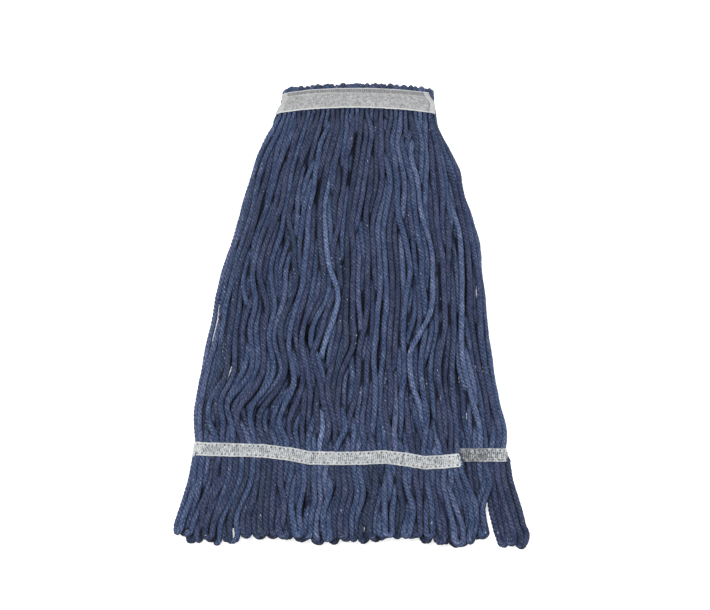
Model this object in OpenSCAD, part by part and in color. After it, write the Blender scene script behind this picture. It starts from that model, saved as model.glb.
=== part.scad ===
// Looped-end string mop head, folded in half over its narrow headband.
// It lies flat on its rear half: +Z is up, +Y points to the folded crease,
// -Y to the loop tips, and the origin is the middle of the footprint.

/* [Overall] */
// Length of the folded head, from the crease to the loop tips
folded_len = 510; // [480:5:540]
// Thickness of the yarn in each folded half
layer_t = 12; // [10:0.5:13]
// Gap between the front half and the rear half
layer_gap = 0.4; // [0.3:0.1:0.8]
// Gap between neighbouring bunches of yarn
bunch_gap = 0.4; // [0.2:0.1:0.8]
// Clearance at each fold line
fold_gap = 0.4; // [0.3:0.1:0.8]

/* [Headband] */
// Length of the headband, across the strands
band_len = 165; // [155:1:175]
// Width of the headband webbing
band_w = 25.4; // [22:0.2:28]
// Thickness of the headband webbing
band_t = 0.8; // [0.5:0.1:1]
// Rise of the headband's middle over its ends
band_arch = 5; // [3:0.5:7]
// Middle of the headband, left to right
band_x = 3; // [0:1:6]
// Distance from the crease to the headband's upper edge
band_inset = 8.5; // [8:0.5:10]

/* [Tail bands] */
// Width of the tail webbing
tail_w = 14; // [12:0.5:16]
// Thickness of the tail webbing
tail_t = 0.7; // [0.5:0.1:0.8]
// Distance from the loop tips to the front tail band, at its left end
front_tail_up = 95; // [90:1:100]
// Drop of the front tail band towards its right end
front_tail_drop = 10; // [5:1:12]
// Distance from the loop tips to the rear tail band
rear_tail_up = 96; // [90:1:100]

/* [Spread] */
// Left edge of the front half at its tail band
front_tail_left = -156; // [-165:1:-150]
// Right edge of the front half at its tail band
front_tail_right = 107; // [100:1:115]
// Left edge of the rear half at its tail band
rear_tail_left = -111; // [-120:1:-100]
// Right edge of the rear half at its tail band
rear_tail_right = 154; // [148:1:160]
// How far each outer edge flares below its tail band
fringe_flare = 18.5; // [12:0.5:20]
// How far each inner edge flares below its tail band
inner_flare = 10; // [5:1:14]
// How quickly the strands fan out below the headband
fan_power = 1.8; // [1.5:0.1:2.2]

/* [Stitching] */
// Thickness of the sewing thread
thread_d = 0.4; // [0.3:0.1:0.4]
// Length of one stitch
stitch_len = 3; // [2.5:0.5:3.5]
// Distance from one stitch to the next
stitch_pitch = 4; // [4:0.5:6]
// Distance of a stitch row from the edge of its webbing
stitch_inset = 3; // [2.5:0.5:3.5]

/* [Hidden] */

bunches = 8;            // bunches of strands across each half
side_steps = 10;        // straight steps along a bunch's side
loops_per_bunch = 3;    // rounded loop groups at a bunch's lower end
skin = 0.1;             // space between a webbing and the yarn under it
FRONT = 1;
REAR = 0;
BLUE = "steelblue";
GREY = "gainsboro";
WHITE = "whitesmoke";

crease_y = folded_len / 2;
tip_y = -folded_len / 2;
stack_t = 2 * layer_t + layer_gap;
fold_r = stack_t / 2;
turn_y = crease_y - fold_r;
band_top_y = crease_y - band_inset;
band_low_y = band_top_y - band_w - band_arch;
band_left = band_x - band_len / 2;
band_right = band_x + band_len / 2;

// Hinge lines, all parallel to X.
front_fold_y = band_low_y - fold_gap - layer_t / 2;
front_tail_y = tip_y + front_tail_up;
front_tail_low_y = front_tail_y - front_tail_drop - tail_w / 2;
rear_tail_y = tip_y + rear_tail_up;
rear_tail_low_y = rear_tail_y - tail_w / 2;
front_loop_fold_y = front_tail_low_y - fold_gap - layer_t / 2;
rear_loop_fold_y = rear_tail_low_y - fold_gap - layer_t / 2;

function layer_z(half) = half * (layer_t + layer_gap);
function fold_y(half) = half == FRONT ? front_fold_y : turn_y - fold_gap;
function tail_y(half) = half == FRONT ? front_tail_y : rear_tail_y;
function tail_drop(half) = half == FRONT ? front_tail_drop : 0;
function loop_fold_y(half) = half == FRONT ? front_loop_fold_y : rear_loop_fold_y;
function tail_left(half) = half == FRONT ? front_tail_left : rear_tail_left;
function tail_right(half) = half == FRONT ? front_tail_right : rear_tail_right;
function tip_left(half) =
    tail_left(half) - (half == FRONT ? fringe_flare - 2 : inner_flare);
function tip_right(half) =
    tail_right(half) + (half == FRONT ? inner_flare : fringe_flare);

function mix(a, b, t) = a + (b - a) * t;

// Fan of the strands: fast below the headband, slow towards the tail band.
function fan(t) = 1 - pow(1 - min(max(t, 0), 1), fan_power);

// X of an edge at height y, from its places at headband, tail band and tips.
function edge_x(head, tail, tip, half, y) =
    y > tail_y(half)
        ? mix(head, tail, fan((band_low_y - y) / (band_low_y - tail_y(half))))
        : mix(tail, tip, (tail_y(half) - y) / (tail_y(half) - tip_y));

// A length kept to a hundredth of a millimetre, so that joined faces match.
function tidy(x) = round(x * 100) / 100;

// X of the line at the share f of the half's width, from left (0) to right (1).
function share_x(half, f, y) = tidy(
    mix(edge_x(band_left, tail_left(half), tip_left(half), half, y),
        edge_x(band_right, tail_right(half), tip_right(half), half, y), f));

// Outline of bunch k between two heights.
module bunch_outline(half, k, y_hi, y_lo) {
    left = [for (i = [0:side_steps])
        let (y = mix(y_hi, y_lo, i / side_steps))
        [share_x(half, k / bunches, y) + bunch_gap / 2, y]];
    right = [for (i = [side_steps:-1:0])
        let (y = mix(y_hi, y_lo, i / side_steps))
        [share_x(half, (k + 1) / bunches, y) - bunch_gap / 2, y]];
    polygon(concat(left, right));
}

// Round end of bunch k, a half disc about a hinge line, as thick as its layer.
module round_end(half, k, y) {
    x0 = share_x(half, k / bunches, y) + bunch_gap / 2;
    x1 = share_x(half, (k + 1) / bunches, y) - bunch_gap / 2;
    translate([x0, y, layer_z(half) + layer_t / 2])
        rotate([90, 0, 90])
            linear_extrude(x1 - x0)
                intersection() {
                    circle(r = layer_t / 2, $fn = 48);
                    translate([0, -layer_t]) square(2 * layer_t);
                }
}

// Bunch of strands from the headband to just below the tail band, with a
// shallow waist where the tail webbing lies on both of its faces.
module lock(half, k) {
    waist = tail_t + 2 * skin;
    waist_hi = tail_y(half) + tail_w / 2 + fold_gap;
    waist_lo = loop_fold_y(half) + layer_t / 2 + fold_gap;
    color(BLUE) {
        difference() {
            translate([0, 0, layer_z(half)])
                linear_extrude(layer_t)
                    bunch_outline(half, k, fold_y(half), waist_lo);
            for (z = [waist - layer_t, layer_t - waist])
                translate([-folded_len / 2, waist_lo - layer_t, layer_z(half) + z])
                    cube([folded_len, waist_hi - waist_lo + layer_t, layer_t]);
        }
        if (half == FRONT) round_end(half, k, fold_y(half));
    }
}

// Bunch of loops below the tail band, ending in rounded loop groups. The groups
// stay inside the bunch's slanting sides all along the height of one loop.
module loops(half, k) {
    y_hi = loop_fold_y(half);
    loop_w = (tip_right(half) - tip_left(half)) / bunches / loops_per_bunch;
    x0 = max([for (y = [tip_y, tip_y + loop_w]) share_x(half, k / bunches, y)])
        + bunch_gap / 2;
    x1 = min([for (y = [tip_y, tip_y + loop_w]) share_x(half, (k + 1) / bunches, y)])
        - bunch_gap / 2;
    loop_r = tidy((x1 - x0) / loops_per_bunch / 2);
    color(BLUE) {
        translate([0, 0, layer_z(half)])
            linear_extrude(layer_t) {
                bunch_outline(half, k, y_hi, tip_y + loop_r);
                for (i = [0:loops_per_bunch - 1])
                    translate([x0 + (2 * i + 1) * loop_r, tip_y + loop_r])
                        circle(r = loop_r, $fn = 24);
            }
        round_end(half, k, y_hi);
    }
}

// Flat outline of the headband: a strip of constant width on a shallow arch.
module band_outline(w, inset) {
    arch_r = (pow(band_len / 2, 2) + pow(band_arch, 2)) / (2 * band_arch);
    r_out = arch_r - inset;
    intersection() {
        translate([band_x, band_top_y - arch_r])
            difference() {
                circle(r = r_out, $fn = 360);
                circle(r = r_out - w, $fn = 360);
            }
        translate([band_left, band_low_y - band_w])
            square([band_len, 3 * band_w]);
    }
}

// Outer headband webbing, wrapped round the left end of the yarn. Its stitches
// are pulled down into it, so that its face stays flat for a clamp.
module headband_outer_webbing() {
    wrap_hi = band_top_y - band_arch;
    color(GREY) {
        difference() {
            translate([0, 0, stack_t])
                linear_extrude(band_t) band_outline(band_w, 0);
            band_stitch_row(stitch_inset);
            band_stitch_row(band_w - stitch_inset);
            headband_zigzag_stitching();
        }
        translate([band_left - band_t, wrap_hi - band_w, layer_t + layer_gap])
            cube([band_t, band_w, layer_t + band_t]);
        translate([band_left - band_t, wrap_hi - band_w, stack_t])
            cube([2 * band_t, band_w, band_t]);
    }
}

// Inner headband webbing, between the yarn and the rear half.
module headband_inner_webbing() {
    color(GREY)
        translate([0, 0, layer_t + layer_gap])
            linear_extrude(band_t)
                intersection() {
                    band_outline(band_w, 0);
                    translate([band_left, band_low_y])
                        square([band_len, turn_y - fold_gap - band_low_y]);
                }
}

// Strands caught between the two headband webbings.
module headband_yarn() {
    step = band_len / bunches;
    color(BLUE)
        for (k = [0:bunches - 1])
            translate([band_left + k * step + bunch_gap / 2, band_low_y,
                       layer_t + layer_gap + band_t + skin])
                cube([step - bunch_gap, turn_y - fold_gap - band_low_y,
                      layer_t - band_t - 2 * skin]);
}

// Strands turning round the crease into the rear half.
module crease_yarn() {
    step = band_len / bunches;
    roll_r = fold_r - 3 * skin;
    color(BLUE)
        for (k = [0:bunches - 1])
            translate([band_left + k * step + bunch_gap / 2, turn_y, fold_r])
                intersection() {
                    rotate([0, 90, 0])
                        cylinder(h = step - bunch_gap, r = roll_r, $fn = 64);
                    translate([0, 0, -fold_r])
                        cube([step, 2 * fold_r, 2 * fold_r]);
                }
}

// One stitch, centred, lying along X.
module stitch(len = stitch_len) {
    translate([-len / 2, -thread_d / 2, 0])
        cube([len, thread_d, thread_d]);
}

// Row of stitches along the headband's arch, a given distance in.
module band_stitch_row(inset) {
    arch_r = (pow(band_len / 2, 2) + pow(band_arch, 2)) / (2 * band_arch);
    count = floor((band_len - stitch_pitch) / stitch_pitch);
    color(WHITE)
        for (i = [0:count - 1]) {
            x = (i - (count - 1) / 2) * stitch_pitch;
            turn = asin(x / arch_r);
            translate([band_x, band_top_y - arch_r, stack_t + band_t - thread_d])
                rotate([0, 0, -turn])
                    translate([0, arch_r - inset, 0]) stitch();
        }
}

// Zigzag row along the middle of the headband.
module headband_zigzag_stitching() {
    arch_r = (pow(band_len / 2, 2) + pow(band_arch, 2)) / (2 * band_arch);
    count = floor((band_len - 2 * stitch_pitch) / stitch_pitch);
    slant = 50;
    color(WHITE)
        for (i = [0:count - 1]) {
            x = (i - (count - 1) / 2) * stitch_pitch;
            turn = asin(x / arch_r);
            side = i % 2 == 0 ? 1 : -1;
            translate([band_x, band_top_y - arch_r, stack_t + band_t - thread_d])
                rotate([0, 0, -turn])
                    translate([0, arch_r - band_w / 2, 0])
                        rotate([0, 0, side * slant]) stitch(stitch_pitch);
        }
}

// Tilt of a tail band in the plane, and one strip or row placed along it.
module along_tail(half) {
    run = tail_right(half) - tail_left(half);
    translate([tail_left(half), tail_y(half), layer_z(half)])
        rotate([0, 0, -atan(tail_drop(half) / run)])
            children();
}

// Tail webbing on the upper (outer) or lower (inner) face of a half.
module tail_webbing(half, upper) {
    run = tail_right(half) - tail_left(half);
    strip_len = run / cos(atan(tail_drop(half) / run));
    color(GREY)
        along_tail(half)
            translate([0, -tail_w / 2, upper ? layer_t - tail_t - skin : skin])
                cube([strip_len, tail_w, tail_t]);
}

// Row of stitches on the upper tail webbing, above or below its middle.
module tail_stitch_row(half, side) {
    count = floor((tail_right(half) - tail_left(half)) / stitch_pitch) - 1;
    color(WHITE)
        along_tail(half)
            for (i = [1:count])
                translate([i * stitch_pitch,
                           side * (tail_w / 2 - stitch_inset),
                           layer_t - skin])
                    stitch_flat();
}

// Stitch pressed thin, so that it stays inside the layer's thickness.
module stitch_flat() {
    translate([-stitch_len / 2, -thread_d / 2, 0])
        cube([stitch_len, thread_d, skin]);
}

headband_outer_webbing();
headband_inner_webbing();
headband_yarn();
band_stitch_row(stitch_inset);  // headband_upper_stitching
band_stitch_row(band_w - stitch_inset);  // headband_lower_stitching
headband_zigzag_stitching();
crease_yarn();

for (k = [0:bunches - 1]) {
    lock(FRONT, k);
    lock(REAR, k);
    loops(FRONT, k);
    loops(REAR, k);
}

tail_webbing(FRONT, true);  // front_tail_outer_webbing
tail_webbing(FRONT, false);  // front_tail_inner_webbing
tail_webbing(REAR, false);  // rear_tail_outer_webbing
tail_webbing(REAR, true);  // rear_tail_inner_webbing
tail_stitch_row(FRONT, 1);  // front_tail_upper_stitching
tail_stitch_row(FRONT, -1);  // front_tail_lower_stitching
tail_stitch_row(REAR, 1);  // rear_tail_upper_stitching
tail_stitch_row(REAR, -1);  // rear_tail_lower_stitching
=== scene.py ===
"""Folded string mop head: every strand, webbing and stitch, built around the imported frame.

Lengths are in millimetres until a mesh is made, and the frame's axes hold throughout:
+X to the right, +Y to the folded crease, -Y to the loop tips, +Z up from the floor.
"""
import math

import bpy
import numpy as np
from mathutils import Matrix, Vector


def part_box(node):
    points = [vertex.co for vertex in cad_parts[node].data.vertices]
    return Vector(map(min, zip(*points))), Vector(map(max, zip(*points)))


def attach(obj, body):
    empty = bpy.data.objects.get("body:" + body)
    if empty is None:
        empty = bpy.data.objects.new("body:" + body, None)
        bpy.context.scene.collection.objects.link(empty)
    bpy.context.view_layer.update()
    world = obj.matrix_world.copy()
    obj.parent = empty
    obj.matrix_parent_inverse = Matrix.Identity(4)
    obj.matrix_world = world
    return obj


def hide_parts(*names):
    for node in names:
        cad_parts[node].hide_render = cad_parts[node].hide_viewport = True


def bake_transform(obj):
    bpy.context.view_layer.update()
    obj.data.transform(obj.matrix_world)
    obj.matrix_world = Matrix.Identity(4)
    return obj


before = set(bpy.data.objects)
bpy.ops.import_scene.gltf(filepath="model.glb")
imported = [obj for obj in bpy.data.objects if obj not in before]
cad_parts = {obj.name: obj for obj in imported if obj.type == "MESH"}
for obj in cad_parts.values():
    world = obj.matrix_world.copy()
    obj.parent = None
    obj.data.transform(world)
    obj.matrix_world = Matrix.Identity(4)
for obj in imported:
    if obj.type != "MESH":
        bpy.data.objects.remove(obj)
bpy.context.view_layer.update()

MM = 0.001
rng = np.random.default_rng(11)


# ---------------------------------------------------------------- frame sizes

def node_box(name):
    """Lowest and highest corner of a CAD node, in millimetres."""
    lo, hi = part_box(name)
    return np.array(lo) / MM, np.array(hi) / MM


BANDS = {half: node_box(f"{half}_tail_outer_webbing") for half in ("front", "rear")}
BAND_LO, BAND_HI = node_box("headband_outer_webbing")
CORE_LO, CORE_HI = node_box("headband_yarn")
CREASE_LO, CREASE_HI = node_box("crease_yarn")
TIPS = {half: (node_box(f"{half}_loops_1")[0], node_box(f"{half}_loops_8")[1])
        for half in ("front", "rear")}
MID_Z = (CREASE_LO[2] + CREASE_HI[2]) / 2       # between the two halves
TURN_Y = CREASE_LO[1]                           # where the crease's turn starts
BAND_MID_X = (CORE_LO[0] + CORE_HI[0]) / 2
BAND_LEN = CORE_HI[0] - CORE_LO[0]
TIP_Y = TIPS["front"][0][1]
TAIL_W = 14.0
BAND_W = 25.4
WRAP_R = 6.5                # radius of the headband's cloth round its left end
END_R = 3.8                 # and of the short drop at its right end
TAIL_PITCH = 4.2            # from one stitch to the next in the tail bands
BAND_PITCH = 3.6            # the same in the headband's straight rows
ZIGZAG_PITCH = 2.3
BAND_RISE = 2.7             # how far the headband's middle lies above its CAD place
BAND_DROP = 0.7             # how far its two ends lie below it
CLOTH_TUCK = 0.115          # share of its height that the cloth loses at the crease

# ---------------------------------------------------------------- the yarn

STRANDS = 96                # across each half, six loops to each CAD bunch
BUNCHES = 8
PER_BUNCH = STRANDS // BUNCHES
YARN_R = 3.1                # outer radius of the plied yarn, with its fuzz
LOOP_R = 3.25               # the loops swell a little below the tail band
PACK_R = 2.9                # radius that yarn keeps when it is pressed together
PLY_PITCH = 18.0            # length of one full turn of the plies
RING_SIDES = 12
SLICE = 5.0                 # spacing of the slices that the strands settle in
RING_STEP = 1.5             # spacing of the rings along a strand or loop
TURN_STEP = 1.6             # the same round the crease
LINE_POINTS = 82            # points of a strand's line from the headband to its tail band
TURN_POINTS = 13            # points of its line round the crease
GRIP = 10                   # rings by which the crease yarn runs under the webbing
LAYERS_AT_BAND = 3
SQUEEZE = 0.80              # share of its radius that the sewn yarn keeps
FLOOR_GAP = 0.7             # keeps the fuzz of the lowest strands off the floor
FLOOR_SKIN = 0.05           # no vertex of the yarn lies lower than this
CEILING = 28.5              # highest that the middle of a strand may rise
EDGE_IN = 2.4               # the outermost strands lie this far inside the headband
BETWEEN_HALVES = 0.5        # how deep the faces that the halves turn to each other count in the painted shade of buried yarn


def smooth(t):
    t = np.clip(t, 0, 1)
    return t * t * (3 - 2 * t)


def mix(a, b, t):
    return a + (b - a) * t


def wander(count, y, spacing, size):
    """Smooth random curves along y, one row for each strand."""
    place = (y.max() - y) / spacing
    knots = int(place.max()) + 4
    values = rng.normal(0, size, (count, knots))
    place = place[None, :] + rng.random((count, 1))
    i = place.astype(int)
    t = smooth(place - i)
    rows = np.arange(count)[:, None]
    return values[rows, i] * (1 - t) + values[rows, i + 1] * t


# How far out each edge is, by how far down it is, from the headband to the tail band.
DOWN = (0, 0.12, 0.31, 0.45, 0.60, 0.73, 0.87, 1)
OUT = {
    ("front", 0): (0, 0.20, 0.48, 0.62, 0.74, 0.85, 0.94, 0.97),
    ("front", 1): (0, 0.05, 0.37, 0.58, 0.68, 0.68, 0.72, 0.84),
    ("rear", 0): (0, 0.20, 0.48, 0.65, 0.78, 0.88, 0.95, 1),
    ("rear", 1): (0, 0.18, 0.46, 0.585, 0.665, 0.745, 0.83, 0.96),
}


def tail_line(half, x):
    """Y of the middle of a half's tail band at x."""
    lo, hi = BANDS[half]
    if half == "rear":
        return np.full_like(np.asarray(x, float), (lo[1] + hi[1]) / 2)
    share = (np.asarray(x, float) - lo[0]) / (hi[0] - lo[0])
    high, low = hi[1] - TAIL_W / 2, lo[1] + TAIL_W / 2
    sag = np.interp(share, [0, 0.06, 0.14, 0.26, 0.36, 0.43, 0.53, 0.62, 0.71, 0.79, 0.86, 0.93, 1],
                    [-0.8, -0.47, -0.16, -0.06, 0.28, 0.68, 0.75, 0.73, 0.59, 0.85, 1.2, 1.1, 0.9])
    return mix(high, low, sag)


def edge_x(half, side, y):
    """X of the left (0) or right (1) edge of a half at height y."""
    head = (CORE_LO, CORE_HI)[side][0] + (EDGE_IN, -EDGE_IN)[side]
    tail = BANDS[half][side][0]
    tip = TIPS[half][side][0]
    tail_y = (BANDS[half][0][1] + BANDS[half][1][1]) / 2
    down = np.clip((CORE_LO[1] - y) / (CORE_LO[1] - tail_y), 0, 1)
    fan = sum(np.interp(down + shift, DOWN, OUT[half, side]) for shift in (-0.04, 0, 0.04)) / 3
    upper = mix(head, tail, fan)
    lower = mix(tail, tip, (tail_y - y) / (tail_y - TIP_Y))
    return np.where(y > tail_y, upper, lower)


def droop(x, y):
    """How far the front half sinks where no rear half lies under it."""
    bare = edge_x("rear", 0, y) - x
    return (MID_Z - 0.9) * smooth((bare - 4) / 44)


def field(share, y, cells, spacing, size):
    """A smooth random sway that neighbouring strands share."""
    curves = wander(cells + 1, y, spacing, size)
    place = np.clip(share, 0, 1 - 1e-6) * cells
    i = place.astype(int)
    t = smooth(place - i)[:, None]
    return curves[i] * (1 - t) + curves[i + 1] * t


def shuffled(spread):
    """Places of the strands in a row where near neighbours have changed places."""
    return np.argsort(np.argsort(np.arange(STRANDS) + rng.normal(0, spread, STRANDS)))


def paired(place):
    """Strands joined into loops: side by side, overlapping or one inside the other."""
    order = np.argsort(place)
    ways = [((0, 1), (2, 3)), ((0, 2), (1, 3)), ((0, 3), (1, 2))]
    pick = rng.choice(3, STRANDS // 4, p=[0.4, 0.4, 0.2])
    return np.array([[order[4 * k + a], order[4 * k + b]]
                     for k, way in enumerate(pick) for a, b in ways[way]])


PLACES = {half: shuffled(1.5) for half in ("front", "rear")}
LOOPS = {half: paired(PLACES[half]) for half in ("front", "rear")}
LOOP_SHARE = {half: (PLACES[half][LOOPS[half]].mean(axis=1) + 0.5) / STRANDS
              for half in ("front", "rear")}
LAST_LOOPS = 0.92           # the rear loops beyond this share lie apart


def bulge(share, above):
    """The front strands at the left swing out, then turn back into the tail band."""
    size = smooth((share - 0.01) / 0.15) * smooth((0.52 - share) / 0.14)
    turn_at = mix(46, 14, np.clip((share - 0.08) / 0.36, 0, 1))
    hook = mix(11, 2.5, np.clip((share - 0.12) / 0.26, 0, 1))
    swing = 12.5 * np.exp(-((above - turn_at - 44) / 31) ** 2)
    uneven = smooth(share / 0.25)
    size = size * (1 + 0.15 * uneven * rng.normal(0, 1, share.shape))
    turn_at = turn_at * (1 + 0.10 * uneven * rng.normal(0, 1, share.shape))
    return size * (swing - hook * np.exp(-((above - turn_at) / 20) ** 2)) * smooth(above / 16)


def fringe_targets(half, y, tail_x):
    """Where the legs of the loops lie below the tail band: x and z of each strand."""
    share = LOOP_SHARE[half]
    pairs = LOOPS[half]
    tip = mix(TIPS[half][0][0] + 3, TIPS[half][1][0] - 3, share)
    if half == "front":
        tip -= 14 * np.exp(-((share - 0.14) / 0.09) ** 2)
    else:
        tip += np.where(share > LAST_LOOPS, -0.5, -6 * smooth(share * 2 - 0.6))
    tip -= np.where((half == "rear") & (share > 0.80) & (share < LAST_LOOPS), 8, 0)
    wide = (rng.random(len(pairs)) < 0.25) & (share > 0.25) & (share < 0.75)
    opening = np.where(wide, rng.uniform(1.5, 2.3, len(pairs)), rng.uniform(0.92, 1.08, len(pairs)))
    tail_low = (BANDS[half][0][1] + BANDS[half][1][1]) / 2 - TAIL_W
    t = smooth((tail_low - y) / 58)[None, :]
    sway = field(share, y, 13, 42, 3.0) + field(share, y, 27, 50, 2.9)
    sway += wander(len(pairs), y, 30, 1.1)
    last = np.clip((share - LAST_LOOPS) / (1 - LAST_LOOPS), 0, 1) * (half == "rear")
    sway[last > 0] *= 0.25
    flare = last[:, None] * (7 * smooth((TIP_Y + 28 - y) / 18) - 4 * t)
    x = np.empty_like(tail_x)
    layer = np.arange(len(pairs)) % 2
    layer = np.where(rng.random(len(pairs)) < 0.45, rng.integers(0, 3, len(pairs)), layer)
    z = np.empty_like(tail_x)
    for leg, sign in ((0, -1), (1, 1)):
        strand = pairs[:, leg]
        end = tip + sign * opening * PACK_R
        x[strand] = mix(tail_x[strand], end[:, None], t) + sway * t * (2 - t) + flare
        z[strand] = (PACK_R * (1 + 1.8 * layer))[:, None] + wander(len(pairs), y, 34, 0.9)
    return x, z


def strand_targets(half, y):
    """Where each strand of a half would lie if it met no other: x, z and radius."""
    band_share = (np.arange(STRANDS) + 0.5) / STRANDS
    tail_share = (PLACES[half] + 0.5) / STRANDS
    tail_x = mix(BANDS[half][0][0], BANDS[half][1][0], tail_share)
    tail_y = tail_line(half, tail_x)[:, None]
    above = y - tail_y - TAIL_W / 2
    from_band = smooth((CORE_LO[1] + 4 - y) / 40)
    free = smooth(above / 26) * from_band

    lane = mix(band_share[:, None], tail_share[:, None], smooth((CORE_LO[1] - 20 - y) / 280))
    lane += (wander(STRANDS, y, 90, 0.9) + wander(STRANDS, y, 50, 0.5)) * free / STRANDS
    x = mix(edge_x(half, 0, y), edge_x(half, 1, y), lane)
    inside = (smooth(tail_share * 9) * smooth((1 - tail_share) * 9))[:, None]
    lower = mix(0.5, 1.0, smooth((140 - y) / 150))
    sway = field(tail_share, y, 11, 62, 4.2) + field(tail_share, y, 25, 36, 2.0)
    clumps = field(tail_share, y, 37, 150, 2.0)
    calm = smooth((above + 6) / 60)
    x += (sway * lower * calm + clumps) * inside * free
    x += (wander(STRANDS, y, 22, 0.3) + wander(STRANDS, y, 48, 1.0)) * free
    if half == "front":
        x += bulge(tail_share[:, None], above)

    band_layer = (np.arange(STRANDS) * 2 % LAYERS_AT_BAND)[:, None]
    core = CORE_HI[2] - CORE_LO[2] - 2 * PACK_R * SQUEEZE
    band_z = CORE_LO[2] + PACK_R * SQUEEZE + core * band_layer / (LAYERS_AT_BAND - 1)
    base = node_box(f"{half}_lock_4")[0][2]
    middle = base + (CREASE_HI[2] - CREASE_LO[2]) / 4
    tail_z = middle + (PLACES[half] % 2 - 0.5)[:, None] * 2 * PACK_R * 0.92
    tail_z = np.maximum(tail_z, base + YARN_R + 1.1)
    rank = rng.random(STRANDS)[:, None] + wander(STRANDS, y, 130, 0.2)
    loose_z = base + PACK_R + 11.0 * rank
    if half == "rear":
        band_z = 2 * MID_Z - band_z
    z = mix(band_z, loose_z, smooth((CORE_LO[1] - y) / 75))
    z = mix(z, tail_z, smooth((34 - above) / 27))
    below = smooth(-(above + TAIL_W) / 36)
    fringe_x, fringe_z = fringe_targets(half, y, np.broadcast_to(tail_x[:, None], x.shape))
    x = np.where(above < -TAIL_W / 2, fringe_x, x)
    z = mix(z, base + fringe_z, below)
    if half == "front":
        z = z - droop(x, y)
    reach = 22 if half == "front" else 45
    r = PACK_R * mix(SQUEEZE, 1.0, smooth((CORE_LO[1] - 2 - y) / reach))
    r = np.broadcast_to(r, x.shape).copy()
    top = CORE_LO[1] + 1 if half == "front" else TURN_Y - 8
    pinned = (np.abs(above + TAIL_W / 2) < TAIL_W / 2 + 3) | (y > top)
    return x, z, r, pinned


def loop_bottoms(half):
    """Y of the lowest point of each loop of a half."""
    share = LOOP_SHARE[half]
    count = len(share)
    if half == "rear":
        bottom = np.where(share > LAST_LOOPS, TIP_Y + 2, TIP_Y + 12)
        bottom = np.where(share < 0.78, TIP_Y + 22, bottom)
        return bottom + rng.normal(0, 1.5, count)
    rise = np.interp(share, [0, 0.05, 0.12, 0.22, 0.29, 0.36, 0.55, 0.69, 0.73, 0.77, 0.82, 0.86,
                             0.96, 1],
                     [17, 9, 4, 5, 10, 7, 2, 4, 6, 6, 6, 4, 0, 1])
    short = (share < 0.14) & (np.arange(count) % 2 == 1)
    return TIP_Y + rise + np.where(short, 6, 0) + rng.normal(0, 1.2, count)


def near_pairs(x, z, reach):
    """Pairs of strands that lie within reach of each other, slice by slice."""
    found = []
    for j in range(x.shape[1]):
        order = np.argsort(x[:, j])
        xs, zs = x[order, j], z[order, j]
        for step in range(1, 26):
            close = (xs[step:] - xs[:-step] < reach) & (np.abs(zs[step:] - zs[:-step]) < reach)
            if not (xs[step:] - xs[:-step] < reach).any():
                break
            a, b = order[:-step][close], order[step:][close]
            found.append(np.stack([a, b, np.full(len(a), j)]))
    return np.concatenate(found, axis=1)


def settle(x, z, r, pinned, y, rear, rounds):
    """Pushes overlapping strands apart while they sink, keeping every strand smooth."""
    x0, z0 = x.copy(), z.copy()
    count, slices = x.shape
    ceiling = np.where(rear[:, None] & (y > CORE_LO[1] - 10), MID_Z - r, CEILING)
    for n in range(rounds):
        if n % 8 == 0:
            a, b, j = near_pairs(x, z, 2.9 * PACK_R)
            ia, ib = a * slices + j, b * slices + j
        dx, dz = x[a, j] - x[b, j], z[a, j] - z[b, j]
        gap = np.sqrt(dx * dx + dz * dz) + 1e-6
        need = np.maximum(r[a, j] + r[b, j] - gap, 0) / gap * 0.5
        size = count * slices
        px = np.bincount(ia, need * dx, size) - np.bincount(ib, need * dx, size)
        pz = np.bincount(ia, need * dz, size) - np.bincount(ib, need * dz, size)
        last = n > rounds * 0.8
        x += px.reshape(x.shape) * 0.55
        z += pz.reshape(z.shape) * 0.55 - (0.0 if last else 0.035)
        ease = 0.12 if last else 0.3
        shift = x - x0
        shift[:, 1:-1] += ease * (shift[:, 2:] + shift[:, :-2] - 2 * shift[:, 1:-1])
        x = x0 + shift * (1.0 if last else 0.997)
        z[:, 1:-1] += ease * (z[:, 2:] + z[:, :-2] - 2 * z[:, 1:-1])
        z = np.minimum(np.maximum(z, r + FLOOR_GAP), ceiling)
        x[pinned], z[pinned] = x0[pinned], z0[pinned]
    return x, z


def buried(x, z):
    """How deep each strand lies in the pile, from its nearer face: 0 on it, 1 far inside; it sets the
    painted shade of buried yarn.
    """
    depth = np.empty_like(x)
    for j in range(x.shape[1]):
        near = np.abs(x[:, j, None] - x[None, :, j]) < 1.1 * PACK_R
        over = np.where(near, z[None, :, j], -1e3).max(axis=1) - z[:, j]
        under = z[:, j] - np.where(near, z[None, :, j], 1e3).min(axis=1)
        depth[:, j] = np.minimum(over, under)
    return smooth(depth / 4.8)


def left_slant(x, y):
    """The wrapped left end of the headband leans to the right towards the crease."""
    up = smooth((y - BAND_LO[1] - 4) / 20)
    return 6.5 * up * (1 - smooth((x - BAND_LO[0]) / 45))


def tuck(points, amount=0.14):
    """The bundle thins where it turns round the crease, and the headband with it."""
    out = points.copy()
    out[..., 2] *= 1 - amount * smooth((points[..., 1] - TURN_Y + 13) / 18)
    return out


def crown(points):
    """The bundle is thick in the middle of the headband and thin towards its ends."""
    x, y, z = points[..., 0], points[..., 1], points[..., 2]
    side = np.clip(np.abs(x - BAND_MID_X) / (BAND_LEN / 2), 0, 1.15)
    near = smooth((y - (CORE_LO[1] - 190)) / 190)
    top = smooth((y - CORE_LO[1] + 30) / 40)
    out = points.copy()
    out[..., 1] = y + top * (BAND_RISE - (BAND_RISE + BAND_DROP) * side ** 2)
    out[..., 2] = z * (1 + near * (0.07 * (1 - side ** 2) - 0.17 * side ** 2.4))
    return out


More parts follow.
